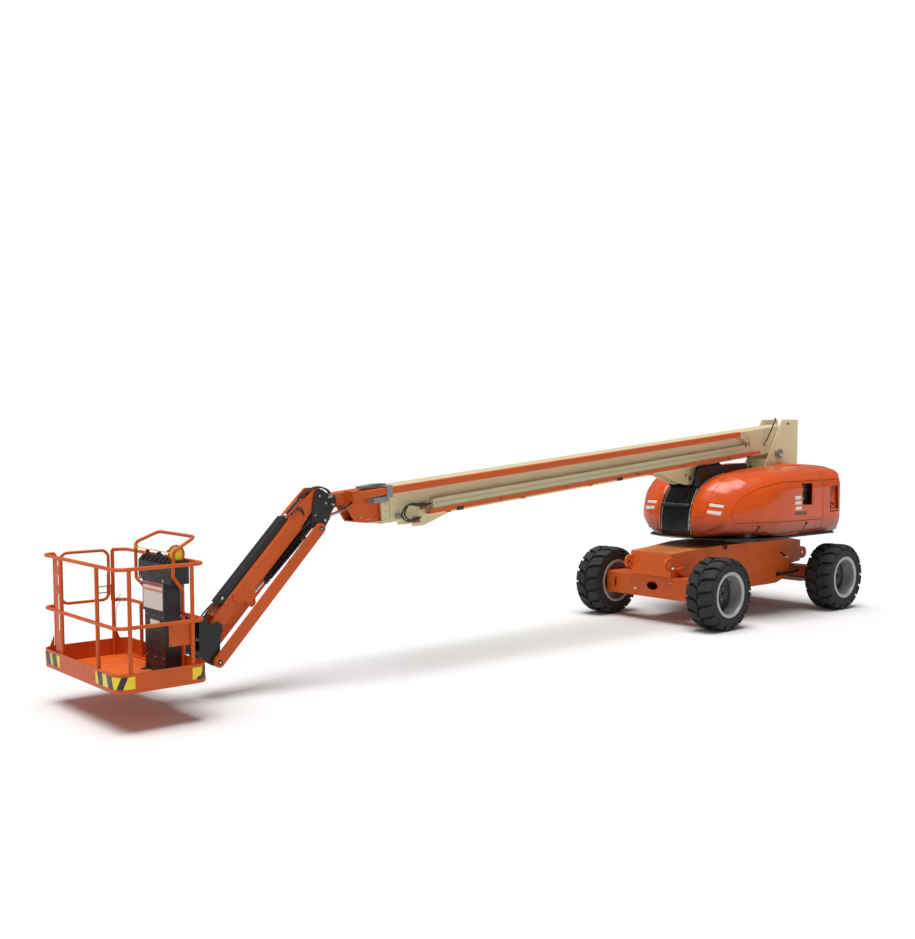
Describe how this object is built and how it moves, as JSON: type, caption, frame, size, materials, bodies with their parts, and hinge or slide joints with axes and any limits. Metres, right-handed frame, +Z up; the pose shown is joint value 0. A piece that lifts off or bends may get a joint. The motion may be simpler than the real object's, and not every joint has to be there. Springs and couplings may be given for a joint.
{
  "type": "telescopic boom lift",
  "caption": "Self-propelled telescopic boom lift: wheeled chassis, slewing turntable with hoods, sectioned boom, jib and railed work platform",
  "frame": {"origin": "on the ground at the centre of the stowed machine's bounding box", "axes": "+X along the machine from the work platform to the counterweight, +Y to the machine's left, +Z up"},
  "size_m": [12.6488, 2.49, 3.015],
  "materials": {
    "orange_paint": "satin enamel, lightly dusty",
    "cream_paint": "satin enamel, lightly scuffed",
    "tan_paint": "satin enamel",
    "black_paint": "satin black enamel",
    "grey_paint": "satin grey enamel",
    "rim_paint": "silver-grey wheel enamel",
    "rubber": "matt charcoal tyre rubber",
    "rod_chrome": "hard chrome, oiled",
    "hood_plastic": "moulded glass-fibre shell, gloss orange",
    "black_plastic": "moulded black plastic",
    "track_plastic": "cream moulded links",
    "tank_plastic": "black moulded tank",
    "engine_block": "dark machine castings"
  },
  "bodies": {
    "chassis": {"chassis_frame": "orange_paint", "slew_ring": "black_paint", "rear_axle": "orange_paint", "front_axle": "orange_paint", "axle_cylinders": "black_paint"},
    "knuckle_left": {"steering_knuckle_left": "orange_paint"},
    "knuckle_right": {"steering_knuckle_right": "orange_paint"},
    "steer_rod": {"steering_rod": "rod_chrome"},
    "turntable": {"turntable_deck": "black_paint", "uprights": "tan_paint", "hood_left": "hood_plastic", "hood_right": "hood_plastic", "counterweight": "orange_paint", "engine": "engine_block", "fluid_tanks": "tank_plastic", "ground_controls": "black_plastic", "front_panel": "black_plastic", "centre_cowls": "black_plastic"},
    "door_left": {"hood_door_left": "hood_plastic"},
    "door_right": {"hood_door_right": "hood_plastic"},
    "lift_barrel": {"lift_cylinder_barrel": "black_paint"},
    "lift_rod": {"lift_cylinder_rod": "rod_chrome"},
    "master_barrel": {"level_master_barrel": "grey_paint"},
    "master_rod": {"level_master_rod": "rod_chrome"},
    "boom": {"boom_base": "cream_paint", "hose_tray": "orange_paint", "power_track": "track_plastic"},
    "mid": {"boom_mid": "cream_paint", "tube_guide": "grey_paint"},
    "fly": {"boom_fly": "orange_paint", "push_tube": "orange_paint", "level_slave_barrel": "black_paint"},
    "slave_rod": {"level_slave_rod": "rod_chrome"},
    "level_head": {"level_bracket": "black_paint"},
    "jib": {"jib_arm": "orange_paint", "jib_hose_cover": "black_plastic"},
    "link": {"jib_link": "orange_paint"},
    "jib_barrel": {"jib_cylinder_barrel": "black_paint"},
    "jib_rod": {"jib_cylinder_rod": "rod_chrome"},
    "rotator": {"jib_head": "black_paint"},
    "platform": {"platform_carrier": "black_paint", "platform_pan": "orange_paint", "platform_rails": "orange_paint", "overhead_guard": "orange_paint", "control_console": "black_plastic"},
    "gate": {"platform_gate": "orange_paint"},
    "wheel_front_left": {"tyre_front_left": "rubber", "rim_front_left": "rim_paint", "hub_front_left": "black_paint"},
    "wheel_front_right": {"tyre_front_right": "rubber", "rim_front_right": "rim_paint", "hub_front_right": "black_paint"},
    "wheel_rear_left": {"tyre_rear_left": "rubber", "rim_rear_left": "rim_paint", "hub_rear_left": "black_paint"},
    "wheel_rear_right": {"tyre_rear_right": "rubber", "rim_rear_right": "rim_paint", "hub_rear_right": "black_paint"}
  },
  "joints": [
    {"name": "roll_front_left", "type": "hinge", "parent": "knuckle_left", "child": "wheel_front_left", "pos_m": [5.806, 1.035, 0.52], "axis": [0, 1, 0], "continuous": true},
    {"name": "roll_front_right", "type": "hinge", "parent": "knuckle_right", "child": "wheel_front_right", "pos_m": [5.806, -1.035, 0.52], "axis": [0, 1, 0], "continuous": true},
    {"name": "roll_rear_left", "type": "hinge", "parent": "chassis", "child": "wheel_rear_left", "pos_m": [2.756, 1.035, 0.52], "axis": [0, 1, 0], "continuous": true},
    {"name": "roll_rear_right", "type": "hinge", "parent": "chassis", "child": "wheel_rear_right", "pos_m": [2.756, -1.035, 0.52], "axis": [0, 1, 0], "continuous": true},
    {"name": "steer_left", "type": "hinge", "parent": "chassis", "child": "knuckle_left", "pos_m": [5.806, 0.8, 0.52], "axis": [0, 0, 1], "range_deg": [-35, 35]},
    {"name": "steer_right", "type": "hinge", "parent": "chassis", "child": "knuckle_right", "pos_m": [5.806, -0.8, 0.52], "axis": [0, 0, 1], "range_deg": [-35, 35]},
    {"name": "steer_rod_slide", "type": "slide", "parent": "chassis", "child": "steer_rod", "axis": [0, 1, 0], "range_m": [-0.1149, 0.1149]},
    {"name": "swing", "type": "hinge", "parent": "chassis", "child": "turntable", "pos_m": [4.281, 0, 1.14], "axis": [0, 0, 1], "continuous": true},
    {"name": "door_left_hinge", "type": "hinge", "parent": "turntable", "child": "door_left", "pos_m": [4.281, 1.15, 2.073], "axis": [1, 0, 0], "range_deg": [0, 70]},
    {"name": "door_right_hinge", "type": "hinge", "parent": "turntable", "child": "door_right", "pos_m": [4.281, -1.15, 2.073], "axis": [-1, 0, 0], "range_deg": [0, 70]},
    {"name": "boom_luff", "type": "hinge", "parent": "turntable", "child": "boom", "pos_m": [5.487, 0, 2.466], "axis": [0, 1, 0], "range_deg": [0, 80]},
    {"name": "lift_barrel_pivot", "type": "hinge", "parent": "turntable", "child": "lift_barrel", "pos_m": [5.031, 0, 1.42], "axis": [0, 1, 0], "range_deg": [0, 63.8]},
    {"name": "lift_rod_slide", "type": "slide", "parent": "lift_barrel", "child": "lift_rod", "axis": [-0.9313, 0, 0.3642], "range_m": [0, 1.28788]},
    {"name": "master_barrel_pivot", "type": "hinge", "parent": "turntable", "child": "master_barrel", "pos_m": [5.181, 0.13, 1.75], "axis": [0, 1, 0], "range_deg": [0, 7.33]},
    {"name": "master_rod_slide", "type": "slide", "parent": "master_barrel", "child": "master_rod", "axis": [0.0238, 0, 0.9997], "range_m": [0, 0.3871]},
    {"name": "boom_extend", "type": "slide", "parent": "boom", "child": "mid", "axis": [-0.9959, 0, -0.0906], "range_m": [0, 6.2]},
    {"name": "fly_extend", "type": "slide", "parent": "mid", "child": "fly", "axis": [-0.9959, 0, -0.0906], "range_m": [0, 6.2]},
    {"name": "level_pivot", "type": "hinge", "parent": "fly", "child": "level_head", "pos_m": [-3.332, 0, 2.057], "axis": [0, 1, 0], "range_deg": [-80, 0]},
    {"name": "slave_rod_slide", "type": "slide", "parent": "fly", "child": "slave_rod", "axis": [0.9618, 0, 0.2736], "range_m": [0, 0.32443]},
    {"name": "jib_luff", "type": "hinge", "parent": "level_head", "child": "jib", "pos_m": [-3.51, 0, 2.115], "axis": [0, 1, 0], "range_deg": [-9.1, 121]},
    {"name": "link_pivot", "type": "hinge", "parent": "level_head", "child": "link", "pos_m": [-3.524, 0, 1.748], "axis": [0, 1, 0], "range_deg": [-9.1, 121]},
    {"name": "head_pivot", "type": "hinge", "parent": "jib", "child": "rotator", "pos_m": [-4.823, 0, 0.768], "axis": [0, 1, 0], "range_deg": [-121, 9.1]},
    {"name": "jib_barrel_pivot", "type": "hinge", "parent": "level_head", "child": "jib_barrel", "pos_m": [-3.509, 0, 1.812], "axis": [0, 1, 0], "range_deg": [-8.75, 115.7]},
    {"name": "jib_rod_slide", "type": "slide", "parent": "jib_barrel", "child": "jib_rod", "axis": [-0.7342, 0, -0.679], "range_m": [-0.03881, 0.50992]},
    {"name": "platform_rotate", "type": "hinge", "parent": "rotator", "child": "platform", "pos_m": [-5.147, 0, 0.7], "axis": [0, 0, 1], "range_deg": [-90, 90]},
    {"name": "gate_hinge", "type": "hinge", "parent": "platform", "child": "gate", "pos_m": [-6.114, 0.888, 1.29], "axis": [0, 0, -1], "range_deg": [0, 80]}
  ],
  "couplings": [
    {"joint": "steer_right", "follows": "steer_left", "ratio": 1},
    {"joint": "steer_rod_slide", "follows": "steer_left", "m_per_rad": -0.188},
    {"joint": "lift_barrel_pivot", "follows": "boom_luff", "ratio": 0.7969},
    {"joint": "lift_rod_slide", "follows": "boom_luff", "m_per_rad": 0.92202},
    {"joint": "master_barrel_pivot", "follows": "boom_luff", "ratio": 0.09136},
    {"joint": "master_rod_slide", "follows": "boom_luff", "m_per_rad": 0.27688},
    {"joint": "level_pivot", "follows": "boom_luff", "ratio": -1},
    {"joint": "slave_rod_slide", "follows": "boom_luff", "m_per_rad": 0.232},
    {"joint": "fly_extend", "follows": "boom_extend", "ratio": 1},
    {"joint": "link_pivot", "follows": "jib_luff", "ratio": 1},
    {"joint": "head_pivot", "follows": "jib_luff", "ratio": -1},
    {"joint": "jib_barrel_pivot", "follows": "jib_luff", "ratio": 0.95581},
    {"joint": "jib_rod_slide", "follows": "jib_luff", "m_per_rad": 0.24122}
  ]
}
